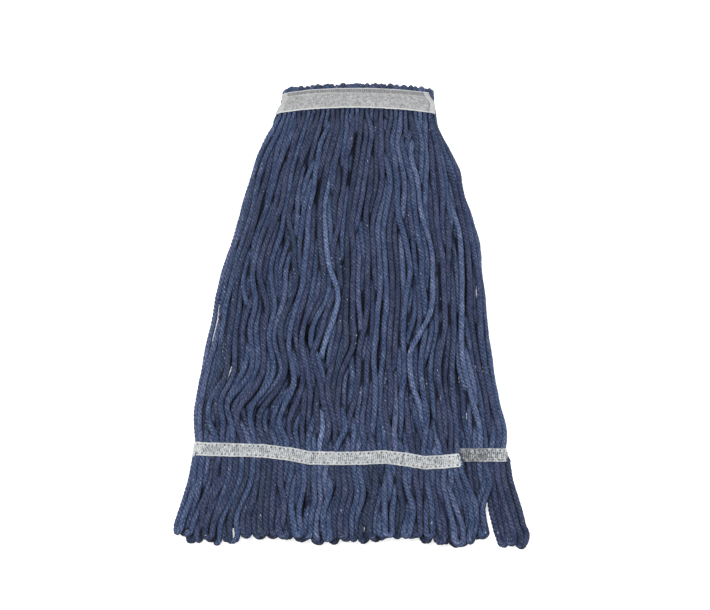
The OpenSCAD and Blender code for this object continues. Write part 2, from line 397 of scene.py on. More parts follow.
def resample(points, step):
    """Points at even spacing along smooth curves, the same number on each row."""
    rows, count = points.shape[:2]
    seg = np.linalg.norm(np.diff(points, axis=1), axis=2)
    s = np.concatenate([np.zeros((rows, 1)), np.cumsum(seg, axis=1)], axis=1)
    total = int(round(s[:, -1].mean() / step)) + 1
    slope = np.gradient(points, axis=1)
    out = np.empty((rows, total, 3))
    for k in range(rows):
        u = np.interp(np.linspace(0, s[k, -1], total), s[k], np.arange(count))
        i = np.minimum(u.astype(int), count - 2)
        t = (u - i)[:, None]
        p0, p1, m0, m1 = points[k, i], points[k, i + 1], slope[k, i], slope[k, i + 1]
        out[k] = ((2 * t ** 3 - 3 * t ** 2 + 1) * p0 + (t ** 3 - 2 * t ** 2 + t) * m0
                  + (-2 * t ** 3 + 3 * t ** 2) * p1 + (t ** 3 - t ** 2) * m1)
    return out


def frames(points):
    """Tangent and two sides at each point, turning as little as possible."""
    t = np.gradient(points, axis=1)
    t /= np.linalg.norm(t, axis=2, keepdims=True)
    n = np.empty_like(t)
    first = np.cross(t[:, 0], np.tile([1.0, 0.1, 0.2], (len(t), 1)))
    n[:, 0] = first / np.linalg.norm(first, axis=1, keepdims=True)
    for k in range(1, points.shape[1]):
        v = n[:, k - 1] - (n[:, k - 1] * t[:, k]).sum(1, keepdims=True) * t[:, k]
        n[:, k] = v / np.linalg.norm(v, axis=1, keepdims=True)
    return t, n, np.cross(t, n)


def ply_rings(points, radius, start, tint, depth):
    """Rings of a four-ply yarn round each curve, with what its material reads."""
    rows, count = points.shape[:2]
    t, n, b = frames(points)
    seg = np.linalg.norm(np.diff(points, axis=1), axis=2)
    s = np.concatenate([np.zeros((rows, 1)), np.cumsum(seg, axis=1)], axis=1) + start[:, None]
    turn = -s * 2 * math.pi / PLY_PITCH + start[:, None]
    lobe = np.arange(RING_SIDES) / RING_SIDES * 2 * math.pi
    valley = np.abs(np.cos(2 * lobe)) ** 2.2
    along = -np.arange(count) * RING_STEP
    thick = 1 + 0.055 * wander(rows, along, 26, 1.0) + 0.04 * wander(rows, along, 7, 1.0)
    groove = (0.20 + 0.06 * wander(rows, along, 12, 1.0))[..., None]
    rough = 1 + rng.normal(0, 0.028, (rows, count, RING_SIDES))
    ring_r = radius[..., None] * thick[..., None] * (1 - groove * valley) * rough
    angle = turn[..., None] + lobe
    c, q = np.cos(angle) * ring_r, np.sin(angle) * ring_r
    at = points[:, :, None] + c[..., None] * n[:, :, None] + q[..., None] * b[:, :, None]
    at[..., 2] = np.maximum(at[..., 2], FLOOR_SKIN)
    fibre = np.stack([np.broadcast_to(s[..., None], c.shape), c, q], axis=-1)
    # Painted shade: each strand is darkened on its sides, where its neighbours press on it, more in
    # the fringe below the tail bands and much less round the crease.
    facing = np.abs(at[..., 2] - points[..., 2, None]) / ring_r
    low = smooth((BANDS["front"][0][1] - points[..., 1]) / 25)
    high = smooth((points[..., 1] - TURN_Y + 6) / 8)
    flank_shade = ((0.74 + 0.18 * low) * (1 - 0.8 * high))[..., None] * smooth((0.80 - facing) / 0.80)
    # Painted shade from the strand's sides and from its depth in the pile, together.
    shade = 1 - (1 - depth[..., None]) * (1 - flank_shade)
    # What the material reads: the strand's tint, the crests of its plies, which set the painted shade
    # in the grooves between them, and its painted shade.
    look = np.stack([np.broadcast_to(tint[:, None, None], c.shape),
                     np.broadcast_to(1 - valley, c.shape), shade], axis=-1)
    return at, fibre, look


def make_mesh(name, verts, faces, material, attributes=()):
    """One piece from vertices in millimetres, quads and other faces."""
    mesh = bpy.data.meshes.new(name)
    mesh.vertices.add(len(verts))
    mesh.vertices.foreach_set("co", (verts * MM).astype(np.float32).ravel())
    sizes = np.concatenate([np.full(len(f), f.shape[1]) for f in faces])
    loops = np.concatenate([f.ravel() for f in faces])
    mesh.loops.add(len(loops))
    mesh.loops.foreach_set("vertex_index", loops.astype(np.int32))
    mesh.polygons.add(len(sizes))
    starts = np.concatenate([[0], np.cumsum(sizes)[:-1]])
    mesh.polygons.foreach_set("loop_start", starts.astype(np.int32))
    mesh.polygons.foreach_set("use_smooth", np.ones(len(sizes), bool))
    for key, values in attributes:
        layer = mesh.attributes.new(key, "FLOAT_VECTOR", "POINT")
        layer.data.foreach_set("vector", values.astype(np.float32).ravel())
    mesh.update(calc_edges=True)
    mesh.validate()
    obj = bpy.data.objects.new(name, mesh)
    bpy.context.scene.collection.objects.link(obj)
    mesh.materials.append(material)
    return obj


def tube_faces(rows, rings, sides):
    """Quads and end caps of closed tubes whose vertices come row by row."""
    base = (np.arange(rows) * rings * sides)[:, None, None]
    k = (np.arange(rings - 1) * sides)[None, :, None]
    a = np.arange(sides)[None, None, :]
    b = (a + 1) % sides
    quads = np.stack(np.broadcast_arrays(base + k + a, base + k + b,
                                         base + k + sides + b, base + k + sides + a), axis=-1)
    caps = [(base[:, 0] + np.arange(sides)[None, ::-1]),
            (base[:, 0] + (rings - 1) * sides + np.arange(sides)[None, :])]
    return [quads.reshape(-1, 4)] + caps


def yarn_piece(name, rings, material):
    """A piece made of the tubes whose rings are given."""
    at, fibre, look = rings
    rows, count, sides = at.shape[:3]
    return make_mesh(name, at.reshape(-1, 3), tube_faces(rows, count, sides), material,
                     [("fibre", fibre.reshape(-1, 3)), ("look", look.reshape(-1, 3))])


# ---------------------------------------------------------------- materials

def nodes_of(name):
    material = bpy.data.materials.new(name)
    material.use_nodes = True
    tree = material.node_tree
    return material, tree, tree.nodes["Principled BSDF"]


def add(tree, kind, values=None, **settings):
    node = tree.nodes.new(kind)
    for key, value in settings.items():
        setattr(node, key, value)
    for key, value in (values or {}).items():
        node.inputs[key].default_value = value
    return node


def ramp(tree, source, stops, mode="LINEAR"):
    node = add(tree, "ShaderNodeValToRGB")
    node.color_ramp.interpolation = mode
    while len(node.color_ramp.elements) < len(stops):
        node.color_ramp.elements.new(0.5)
    for element, (place, colour) in zip(node.color_ramp.elements, stops):
        element.position = place
        element.color = (*colour, 1)
    tree.links.new(source, node.inputs["Fac"])
    return node.outputs["Color"]


def blend_colours(tree, kind, amount, first, second):
    node = add(tree, "ShaderNodeMix", data_type="RGBA", blend_type=kind)
    for socket, value in ((node.inputs["Factor"], amount), (node.inputs[6], first),
                          (node.inputs[7], second)):
        if isinstance(value, bpy.types.NodeSocket):
            tree.links.new(value, socket)
        else:
            socket.default_value = value
    return node.outputs[2]


def yarn_material():
    """Denim-blue plied yarn: heathered fibres and pale flecks, with painted shade in the grooves
    between its plies, on the sides of its strands and on yarn deep in the pile.
    """
    material, tree, shader = nodes_of("yarn_blue")
    fibre = add(tree, "ShaderNodeAttribute", attribute_name="fibre").outputs["Vector"]
    look = add(tree, "ShaderNodeAttribute", attribute_name="look").outputs["Vector"]
    parts = add(tree, "ShaderNodeSeparateXYZ")
    tree.links.new(look, parts.inputs[0])

    def fibre_noise(scale, size, detail):
        stretch = add(tree, "ShaderNodeVectorMath", {1: scale}, operation="MULTIPLY")
        tree.links.new(fibre, stretch.inputs[0])
        noise = add(tree, "ShaderNodeTexNoise", {"Scale": size, "Detail": detail})
        tree.links.new(stretch.outputs[0], noise.inputs["Vector"])
        return noise.outputs["Fac"]

    streaks = fibre_noise((0.5, 1.3, 1.3), 1.0, 3)
    patches = fibre_noise((0.09, 0.16, 0.16), 1.0, 2)
    flecks = fibre_noise((0.34, 0.5, 0.5), 1.0, 1)
    base = ramp(tree, parts.outputs[0],
                [(0.0, (0.028, 0.042, 0.084)), (0.2, (0.038, 0.050, 0.107)),
                 (0.4, (0.043, 0.066, 0.139)), (0.7, (0.054, 0.083, 0.168)),
                 (0.85, (0.062, 0.083, 0.166)), (1.0, (0.094, 0.136, 0.254))])
    heather = ramp(tree, streaks, [(0.34, (0.38, 0.40, 0.46)), (0.5, (0.95, 0.95, 0.95)),
                                   (0.66, (2.2, 2.05, 1.75))])
    colour = blend_colours(tree, "MULTIPLY", 1.0, base, heather)
    cast = ramp(tree, patches, [(0.35, (0.72, 0.78, 0.85)), (0.65, (1.25, 1.18, 1.12))])
    colour = blend_colours(tree, "MULTIPLY", 1.0, colour, cast)
    # Painted shade in the grooves between the plies.
    furrow_shade = ramp(tree, parts.outputs[1], [(0.0, (0.38, 0.38, 0.44)), (0.8, (1.0, 1.0, 1.0))])
    colour = blend_colours(tree, "MULTIPLY", 0.85, colour, furrow_shade)
    # Painted shade: yarn deep in the pile and the sides of each strand are darkened, at most to about
    # an eighth.
    inner = ramp(tree, parts.outputs[2], [(0.0, (1.0, 1.0, 1.0)), (1.0, (0.12, 0.13, 0.16))])
    colour = blend_colours(tree, "MULTIPLY", 1.0, colour, inner)
    neps = ramp(tree, flecks, [(0.755, (0, 0, 0)), (0.80, (1, 1, 1))])
    colour = blend_colours(tree, "MIX", neps, colour, (0.42, 0.46, 0.56, 1))
    tree.links.new(colour, shader.inputs["Base Color"])
    shader.inputs["Roughness"].default_value = 0.95
    shader.inputs["Specular IOR Level"].default_value = 0.1
    shader.inputs["Sheen Weight"].default_value = 0.04
    shader.inputs["Sheen Roughness"].default_value = 0.6
    fuzz = fibre_noise((0.9, 3.0, 3.0), 1.0, 3)
    bump = add(tree, "ShaderNodeBump", {"Strength": 0.8, "Distance": 0.0007})
    tree.links.new(fuzz, bump.inputs["Height"])
    tree.links.new(bump.outputs[0], shader.inputs["Normal"])
    return material


def floor_material():
    material, tree, shader = nodes_of("floor_pale")
    shader.inputs["Base Color"].default_value = (0.9, 0.9, 0.9, 1)
    shader.inputs["Roughness"].default_value = 0.9
    shader.inputs["Emission Color"].default_value = (1, 1, 1, 1)
    shader.inputs["Emission Strength"].default_value = 0.55
    return material


# ---------------------------------------------------------------- build: yarn

yarn_look = yarn_material()
slice_y = np.arange(TURN_Y, TIP_Y + 4, -SLICE)
front = strand_targets("front", slice_y)
rear = strand_targets("rear", slice_y)
both = [np.concatenate(pair) for pair in zip(front, rear)]
is_rear = np.arange(2 * STRANDS) >= STRANDS
settled = settle(*both, slice_y, is_rear, 360)
lines = np.stack([settled[0], np.broadcast_to(slice_y, settled[0].shape), settled[1]], axis=-1)
front_lines, rear_lines = lines[:STRANDS], lines[STRANDS:]
halves = (slice(0, STRANDS), slice(STRANDS, None))
# Painted shade: yarn deep in its own half's pile is darkened in its colour; depth in the whole pile
# counts at half strength, so the faces that the halves turn to each other are darkened less.
own_depths = np.concatenate([buried(settled[0][half], settled[1][half]) for half in halves])
depths = np.maximum(own_depths, BETWEEN_HALVES * buried(*settled))
DEPTHS = {"front": depths[:STRANDS], "rear": depths[STRANDS:]}

tints = rng.random(STRANDS)
phases = rng.random(STRANDS) * 1000


def depth_along(half, strands, curves):
    """How deep a half's strands lie at each point of the given curves."""
    return np.array([np.interp(-curve[:, 1], -slice_y, DEPTHS[half][k])
                     for k, curve in zip(strands, curves)])


def above_tail(half, rows):
    """Each strand of a half from the headband to the middle of its tail band."""
    cut = []
    for row in rows:
        stop = tail_line(half, np.interp(BANDS[half][0][1], slice_y[::-1], row[::-1, 0]))
        y = np.linspace(slice_y[0], float(stop), LINE_POINTS)
        cut.append(np.stack([np.interp(-y, -slice_y, row[:, 0]), y,
                             np.interp(-y, -slice_y, row[:, 2])], axis=-1))
    return np.array(cut)


def whole_strands():
    """Centre lines from the front tail band over the crease to the rear tail band."""
    up = above_tail("front", front_lines)[:, ::-1]
    down = above_tail("rear", rear_lines)
    fold_r = (up[:, -1, 2] - down[:, 0, 2]) / 2
    centre = (up[:, -1, 2] + down[:, 0, 2]) / 2
    angle = np.linspace(0, math.pi, TURN_POINTS + 2)[1:-1]
    k = np.arange(STRANDS)
    lumps = np.interp(k / STRANDS, [0, 0.06, 0.17, 0.27, 0.38, 0.48, 0.59, 0.70, 0.755, 0.80, 0.91, 1],
                      [-0.6, 0.9, -0.1, 1.0, 0.5, 0.9, 1.5, 1.6, 0.6, 1.6, 0.9, -0.4])
    lean = np.interp(k, np.linspace(0, STRANDS, 14), rng.normal(0, 3.5, 14))
    lean = (lean + rng.normal(0, 1.5, STRANDS)) * smooth(k / 8) * smooth((STRANDS - 1 - k) / 8)
    reach = mix(fold_r, fold_r.max(), 0.75) + 1.8 + lumps + rng.normal(0, 0.25, STRANDS)
    side = mix(up[:, -1, 0][:, None], down[:, 0, 0][:, None], angle / math.pi)
    side += lean[:, None] * np.sin(angle)
    turn = np.stack([side, TURN_Y + reach[:, None] * np.sin(angle),
                     centre[:, None] + fold_r[:, None] * np.cos(angle)], axis=-1)
    return up, turn, down


up, turn, down = whole_strands()
path = crown(np.concatenate([up, turn, down], axis=1))
turn_to = LINE_POINTS + TURN_POINTS
fine_up = resample(path[:, :LINE_POINTS], RING_STEP)
fine_turn = resample(path[:, LINE_POINTS - 1:turn_to + 1], TURN_STEP)
fine_down = resample(path[:, turn_to:], RING_STEP)
path = np.concatenate([fine_up, fine_turn[:, 1:-1], fine_down], axis=1)
squeezed = smooth((path[..., 1] - (CORE_LO[1] - 18)) / 20)
squeezed *= 1 - smooth((path[..., 1] - TURN_Y) / 4)
radius = YARN_R * mix(1.0, SQUEEZE - 0.06, squeezed)
every = np.arange(STRANDS)
crease_at = fine_up.shape[1] + fine_turn.shape[1] // 2
path_depth = np.concatenate([depth_along("front", every, path[:, :crease_at]),
                             depth_along("rear", every, path[:, crease_at:])], axis=1)
# No painted shade for buried yarn round the crease.
path_depth *= 1 - smooth((path[..., 1] - TURN_Y + 4) / 8)
path[..., 0] += left_slant(path[..., 0], path[..., 1])
path = tuck(path)
rings = ply_rings(path, radius, phases, tints, path_depth)
top_end = fine_up.shape[1]
turn_end = top_end + fine_turn.shape[1] - 2


def part(of_rings, rows, first, last):
    return [a[rows, first:last] for a in of_rings]


for k in range(BUNCHES):
    rows = slice(k * PER_BUNCH, (k + 1) * PER_BUNCH)
    piece = yarn_piece(f"front_strands_{k + 1}", part(rings, rows, 0, top_end), yarn_look)
    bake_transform(piece)
    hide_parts(f"front_lock_{k + 1}")
    piece = yarn_piece(f"rear_strands_{k + 1}", part(rings, rows, turn_end + 2, None), yarn_look)
    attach(piece, "rear_skirt")
    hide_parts(f"rear_lock_{k + 1}")

for layer in range(LAYERS_AT_BAND):
    rows = np.arange(STRANDS) * 2 % LAYERS_AT_BAND == layer
    piece = yarn_piece(f"crease_strands_{layer + 1}",
                       part(rings, rows, top_end - GRIP, turn_end + 3), yarn_look)
    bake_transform(piece)
    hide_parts("crease_yarn", "headband_yarn")


def loops_of(half, rows):
    """Centre lines of the loops below a tail band, from one strand round to the next."""
    curves = []
    for k, (bottom, pair) in enumerate(zip(loop_bottoms(half), LOOPS[half])):
        legs = []
        for leg in pair:
            row = rows[leg]
            tail_x = np.interp(-BANDS[half][0][1], -slice_y, row[:, 0])
            gap = abs(np.diff([np.interp(-bottom, -slice_y, rows[one][:, 0]) for one in pair])[0])
            end = bottom + YARN_R + 0.5 * max(gap, 2 * YARN_R)
            if half == "rear" and k == len(LOOPS[half]) - 1 and leg == pair[1]:
                end += 12
            y = np.linspace(float(tail_line(half, tail_x)), end, 20)
            legs.append(np.stack([np.interp(-y, -slice_y, row[:, 0]), y,
                                  np.interp(-y, -slice_y, row[:, 2])], axis=-1))
        a, b = legs
        reach = 0.66 * max(np.linalg.norm(a[-1] - b[-1]), 1.7 * YARN_R)
        handles = [leg[-1] + (leg[-1] - leg[-3]) / np.linalg.norm(leg[-1] - leg[-3]) * reach
                   for leg in legs]
        t = np.linspace(0, 1, 9)[1:-1, None]
        bend = ((1 - t) ** 3 * a[-1] + 3 * (1 - t) ** 2 * t * handles[0]
                + 3 * (1 - t) * t ** 2 * handles[1] + t ** 3 * b[-1])
        curves.append(np.concatenate([a, bend, b[::-1]]))
    return crown(np.array(curves))


for half, rows in (("front", front_lines), ("rear", rear_lines)):
    curves = resample(loops_of(half, rows), RING_STEP)
    first = LOOPS[half][:, 0]
    loop_tint = (tints[first] - 0.16 + rng.normal(0, 0.08, len(first))).clip(0, 1)
    bend_at = curves.shape[1] // 2
    loop_depth = np.concatenate([depth_along(half, first, curves[:, :bend_at]),
                                 depth_along(half, LOOPS[half][:, 1], curves[:, bend_at:])], axis=1)
    loop_rings = ply_rings(curves, np.full(curves.shape[:2], LOOP_R), phases[first] + 3,
                           loop_tint, loop_depth)
    per = PER_BUNCH // 2
    for k in range(BUNCHES):
        group = slice(k * per, (k + 1) * per)
        piece = yarn_piece(f"{half}_fringe_{k + 1}", part(loop_rings, group, 0, None), yarn_look)
        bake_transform(piece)
        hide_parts(f"{half}_loops_{k + 1}")

# ---------------------------------------------------------------- build: webbing and stitching

def envelope(lines, x_line, y_line, sign):
    """Height of the cloth that rests on (sign 1) or under (-1) the strands along a line."""
    height = np.full(len(x_line), -1e3)
    for row in crown(lines):
        at_x = np.interp(-y_line, -row[:, 1], row[:, 0])
        at_z = np.interp(-y_line, -row[:, 1], row[:, 2])
        off = x_line - at_x
        arc = np.sqrt(np.maximum(YARN_R ** 2 - off ** 2, 0))
        height = np.where(np.abs(off) < YARN_R, np.maximum(height, sign * at_z + arc), height)
    known = height > -900
    height = np.interp(x_line, x_line[known], height[known])
    step = x_line[1] - x_line[0]
    reach = max(1, int(2.0 / step))
    high = np.max([np.roll(height, k) for k in range(-reach, reach + 1)], axis=0)
    high[:reach], high[-reach:] = height[:reach], height[-reach:]
    bell = np.exp(-(np.arange(-3 * reach, 3 * reach + 1) * step / 2.2) ** 2)
    padded = np.pad(high, 3 * reach, mode="edge")
    return sign * np.convolve(padded, bell / bell.sum(), mode="valid")


def strip_frame(centre):
    """Arc length, across and up vectors along the middle line of a strip."""
    t = np.gradient(centre, axis=0)
    t /= np.linalg.norm(t, axis=1, keepdims=True)
    seg = np.linalg.norm(np.diff(centre, axis=0), axis=1)
    u = np.concatenate([[0], np.cumsum(seg)])
    up_rough = np.cross(t, np.tile([0.0, 1.0, 0.0], (len(t), 1)))
    across = np.cross(up_rough, t)
    across /= np.linalg.norm(across, axis=1, keepdims=True)
    return u, across, np.cross(t, across)


def strip_place(centre, u, v, w):
    """Points of a strip at distances u along, v across and w above its middle line."""
    s, across, up_axis = strip_frame(centre)
    flat_u = np.clip(u, 0, s[-1])
    at = np.stack([np.interp(flat_u, s, centre[:, k]) for k in range(3)], axis=-1)
    ac = np.stack([np.interp(flat_u, s, across[:, k]) for k in range(3)], axis=-1)
    un = np.stack([np.interp(flat_u, s, up_axis[:, k]) for k in range(3)], axis=-1)
    return at + ac * v[..., None] + un * w[..., None]


def onto_head(points):
    """Points of a cloth, leant and thinned like the yarn that it holds in the headband."""
    leant = points.copy()
    leant[..., 0] += left_slant(points[..., 0], points[..., 1])
    return tuck(leant, CLOTH_TUCK)


def webbing(name, centre, width, thick, pattern, material, step=0.45, shape=None, carry=None):
    """A closed woven strip along a line, its cloth raised and lowered by its pattern."""
    s = strip_frame(centre)[0]
    nu, nv = int(s[-1] / step) + 1, int(width / step) + 1
    u, v = np.meshgrid(np.linspace(0, s[-1], nu), np.linspace(-width / 2, width / 2, nv),
                       indexing="ij")
    height, tone, dark = pattern(u, v)
    if shape is not None:
        u, v = shape(u, v, s[-1])
    edge = 0.12 * wander(2, -np.linspace(0, s[-1], nu), 3.0, 1.0)
    v = v + np.where(v > 0, edge[0][:, None], edge[1][:, None]) * (np.abs(v) / width * 2) ** 8
    rim = np.sqrt(np.clip(1 - (np.abs(v) * 2 / width) ** 12, 0.05, 1))
    top = strip_place(centre, u, v, rim * thick / 2 + height)
    low = strip_place(centre, u, v, -rim * thick / 2 + 0.3 * height)
    if carry is not None:
        top, low = carry(top), carry(low)
    verts = np.concatenate([top.reshape(-1, 3), low.reshape(-1, 3)])
    i, j = np.meshgrid(np.arange(nu - 1) * nv, np.arange(nv - 1), indexing="ij")
    a = (i + j).ravel()
    quads = np.stack([a, a + nv, a + nv + 1, a + 1], axis=1)
    count = nu * nv
    ring = np.concatenate([np.arange(nv - 1), np.arange(nu - 1) * nv + nv - 1,
                           (nu - 1) * nv + np.arange(nv - 1, 0, -1), np.arange(nu - 1, 0, -1) * nv])
    nxt = np.roll(ring, -1)
    walls = np.stack([ring, nxt, nxt + count, ring + count], axis=1)
    weave = np.stack([u, v, np.zeros_like(u)], axis=-1).reshape(-1, 3)
    marks = np.stack([tone, dark, np.zeros_like(u)], axis=-1).reshape(-1, 3)
    return make_mesh(name, verts, [quads, (quads + count)[:, ::-1], walls], material,
                     [("weave", np.tile(weave, (2, 1))), ("marks", np.tile(marks, (2, 1)))])


def speckle(u, v, size):
    """Random light and dark grains of a given size over the cloth."""
    i, j = (u / size).astype(int), ((v + 50) / size).astype(int)
    grains = rng.random((i.max() + 2, j.max() + 2))
    return grains[i, j]


def tail_pattern(u, v):
    """Ladder weave: raised bars down the middle, stitch holes, dark partly with the blue yarn under
    them and partly with painted shade, and paler selvedges.
    """
    inside = smooth((3.6 - np.abs(v)) / 0.5)
    bars = 0.5 + 0.5 * np.cos(2 * math.pi * u / 1.9)
    worn = 0.5 * speckle(u, v, 2.7) + 0.5 * speckle(u, v, 0.9)
    fine = 0.5 + 0.5 * np.cos(2 * math.pi * u / 1.2) * np.cos(2 * math.pi * v / 1.2)
    place = u / TAIL_PITCH + np.where(v > 0, 0.0, 0.4)
    uneven = np.mod(np.floor(place) * 0.618, 1.0)
    place = (np.mod(place, 1.0) - 0.4 - 0.2 * uneven) * TAIL_PITCH
    # The stitch holes are shallow pits coloured dark: partly the blue yarn under them, partly painted
    # shade.
    holes = smooth((0.8 + 0.7 * uneven - np.hypot(place, (np.abs(v) - 4.6) * 1.15)) / 0.45)
    height = inside * (0.28 * bars - 0.05) + (1 - inside) * 0.06 * fine
    height = height - 0.45 * holes + 0.15 * smooth((np.abs(v) - 5.4) / 0.5)
    tone = mix(0.54 + 0.56 * worn, 0.36 + 0.52 * bars + 0.95 * (worn - 0.5), inside)
    tone += 0.28 * (1 - smooth(u / 22)) + 0.14 * smooth((u - u.max() + 22) / 12)
    return height, tone, 0.95 * holes


def rear_tail_pattern(u, v):
    """The same weave, darker and greyer: partly blue lint that clings to it, partly painted shade, and
    less so towards its right end.
    """
    height, tone, dark = tail_pattern(u, v)
    # Painted shade and lint: the whole band is darkened, with grains of lint over it, and less so over
    # its last 30 mm.
    lint = (speckle(u, v, 2.4) + speckle(u, v, 1.0)) / 2
    lighter_end = smooth((u - u.max() + 30) / 24)
    return height, 1.6 * tone - mix(0.50, 0.35, lighter_end) - 0.75 * lint, dark


def band_pattern(u, v):
    """Speckled plain weave with a ribbed strip along the top and rolled selvedges."""
    weave = np.cos(2 * math.pi * u / 1.9) * np.cos(2 * math.pi * v / 1.9)
    ribs = np.cos(2 * math.pi * u / 1.9)
    upper = smooth((v - 7.0) / 0.5) * smooth((11.8 - v) / 0.4)
    ridge = np.exp(-((v - 7.2) / 0.5) ** 2) * smooth((110 - u) / 40)
    hem = smooth((6.2 - (u.max() - u)) / 0.8)
    hem += smooth((3.5 - np.abs(u - u.max() + BAND_LEN)) / 0.8)
    # A dark line across the band, 6.8 mm from its right end, beside the pale hem.
    end_dark_line = np.exp(-((u.max() - u - 6.8) / 0.5) ** 2)
    selvedge = smooth((-10.9 - v) / 0.5) + smooth((v - 11.7) / 0.4)
    grain = 0.6 * speckle(u, v, 1.3) + 0.4 * speckle(u, v, 2.1)
    height = 0.12 * weave * (1 - upper) * (1 - selvedge) + 0.10 * ribs * upper
    height = height + 0.22 * selvedge + 0.16 * ridge - 0.08 * upper + 0.1 * grain
    tone = mix(0.28 + 0.62 * grain + 0.20 * weave, 0.16 + 0.20 * ribs + 0.36 * grain, upper)
    tone = mix(tone, 0.95 + 0.1 * grain, np.clip(selvedge + 0.8 * ridge + 0.6 * hem, 0, 1))
    return height + 0.15 * hem, tone, 0.5 * end_dark_line


def webbing_material(name, low, high):
    """Woven cotton tape: tone from its pattern, with thread noise and warm and cool patches."""
    material, tree, shader = nodes_of(name)
    weave = add(tree, "ShaderNodeAttribute", attribute_name="weave").outputs["Vector"]
    marks = add(tree, "ShaderNodeAttribute", attribute_name="marks").outputs["Vector"]
    parts = add(tree, "ShaderNodeSeparateXYZ")
    tree.links.new(marks, parts.inputs[0])
    noise = add(tree, "ShaderNodeTexNoise", {"Scale": 1.7, "Detail": 3})
    tree.links.new(weave, noise.inputs["Vector"])
    bright = [1.22 * value for value in high]
    tone = ramp(tree, parts.outputs[0], [(0.15, low), (0.85, high), (1.0, bright)])
    speck = ramp(tree, noise.outputs["Fac"], [(0.36, (0.55, 0.56, 0.58)), (0.5, (0.95, 0.95, 0.95)),
                                              (0.66, (1.15, 1.14, 1.1))])
    colour = blend_colours(tree, "MULTIPLY", 0.8, tone, speck)
    stain = add(tree, "ShaderNodeTexNoise", {"Scale": 0.7, "Detail": 2})
    tree.links.new(weave, stain.inputs["Vector"])
    warmth = ramp(tree, stain.outputs["Fac"], [(0.38, (0.93, 0.98, 1.08)), (0.62, (1.08, 1.02, 0.88))])
    colour = blend_colours(tree, "MULTIPLY", 1.0, colour, warmth)
    # Dark marks: the stitch holes of the tail bands, partly blue yarn and partly painted shade, and a
    # dark line across the headband near its right end.
    colour = blend_colours(tree, "MIX", parts.outputs[1], colour, (0.05, 0.055, 0.09, 1))
    tree.links.new(colour, shader.inputs["Base Color"])
    shader.inputs["Roughness"].default_value = 0.9
    shader.inputs["Specular IOR Level"].default_value = 0.2
    shader.inputs["Sheen Weight"].default_value = 0.15
    bump = add(tree, "ShaderNodeBump", {"Strength": 0.5, "Distance": 0.0003})
    tree.links.new(noise.outputs["Fac"], bump.inputs["Height"])
    tree.links.new(bump.outputs[0], shader.inputs["Normal"])
    return material


def thread_material():
    material, tree, shader = nodes_of("sewing_thread")
    fibre = add(tree, "ShaderNodeAttribute", attribute_name="fibre").outputs["Vector"]
    twist = add(tree, "ShaderNodeTexWave", {"Scale": 0.9, "Distortion": 1.0})
    tree.links.new(fibre, twist.inputs["Vector"])
    colour = ramp(tree, twist.outputs["Fac"], [(0.2, (0.26, 0.26, 0.26)), (0.8, (0.45, 0.45, 0.45))])
    tree.links.new(colour, shader.inputs["Base Color"])
    shader.inputs["Roughness"].default_value = 0.7
    return material


def stitches(name, centre, ends, lift, thread_r, material):
    """Thread loops over a strip, each from one hole to the next, given as (u, v) pairs."""
    t = np.linspace(0, 1, 9)
    ends = np.asarray(ends, float)
    u = mix(ends[:, 0, 0][:, None], ends[:, 1, 0][:, None], t)
    v = mix(ends[:, 0, 1][:, None], ends[:, 1, 1][:, None], t)
    w = np.broadcast_to(lift * (np.sin(math.pi * t) ** 0.35 * 1.6 - 0.7), u.shape)
    points = tuck(strip_place(centre, u, v, w), CLOTH_TUCK)
    _, n, b = frames(points)
    angle = np.arange(7) / 7 * 2 * math.pi
    c, q = np.cos(angle) * thread_r, np.sin(angle) * thread_r
    at = (points[:, :, None] + c[:, None] * n[:, :, None] + q[:, None] * b[:, :, None])
    length = np.broadcast_to((t * 4)[None, :, None], at.shape[:3])
    fibre = np.stack([length, np.broadcast_to(c, at.shape[:3]), np.broadcast_to(q, at.shape[:3])],
                     axis=-1)
    return make_mesh(name, at.reshape(-1, 3), tube_faces(len(ends), 9, 7), material,
                     [("fibre", fibre.reshape(-1, 3))])


def row_of_stitches(length, v, pitch, size):
    u = np.arange(pitch, length - pitch, pitch)
    u = u + (0.0 if v > 0 else 0.35 * pitch)
    return [[(a - size / 2, v), (a + size / 2, v)] for a in u]


tail_look = webbing_material("webbing_tail", (0.085, 0.09, 0.105), (0.385, 0.40, 0.415))
band_look = webbing_material("webbing_headband", (0.12, 0.122, 0.127), (0.39, 0.398, 0.412))
thread_look = thread_material()


def round_end(u, v, length):
    """The tail webbing's right end has rounded corners and a slightly frayed cut."""
    fray = np.abs(wander(1, -v[0], 1.3, 0.8))
    cut = u - fray * smooth((u - length + 4) / 4)
    return cut, v * (1 - 0.3 * smooth((u - length + 2.5) / 2.5) ** 2)


def tail_centre(half, lines, sign, clear):
    """Middle line of a tail webbing, resting on the strands that it holds."""
    lo, hi = BANDS[half]
    x = np.linspace(lo[0] - 0.5, hi[0] - 1.0, 420)
    y = tail_line(half, x)
    z = envelope(lines, x, y, sign) + sign * clear
    return np.stack([x, y, z], axis=-1)


for half, lines in (("front", front_lines), ("rear", rear_lines)):
    upper_name, lower_name = ("outer", "inner") if half == "front" else ("inner", "outer")
    for side, sign in ((upper_name, 1), (lower_name, -1)):
        centre = tail_centre(half, lines, sign, 0.35)
        pattern = tail_pattern if half == "front" else rear_tail_pattern
        piece = webbing(f"{half}_tail_band_{side}", centre, TAIL_W, 0.55, pattern, tail_look,
                        step=0.4 if sign > 0 else 0.8, shape=round_end)
        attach(piece, f"{half}_skirt")
        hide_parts(f"{half}_tail_{side}_webbing")
        run = strip_frame(centre)[0][-1]
        if sign > 0:
            for row, v in (("upper", 4.4), ("lower", -4.4)):
                ends = row_of_stitches(run, v, TAIL_PITCH, 2.4)
                piece = stitches(f"{half}_tail_{row}_thread", centre, ends, 0.4, 0.24, thread_look)
                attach(piece, f"{half}_skirt")
                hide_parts(f"{half}_tail_{row}_stitching")


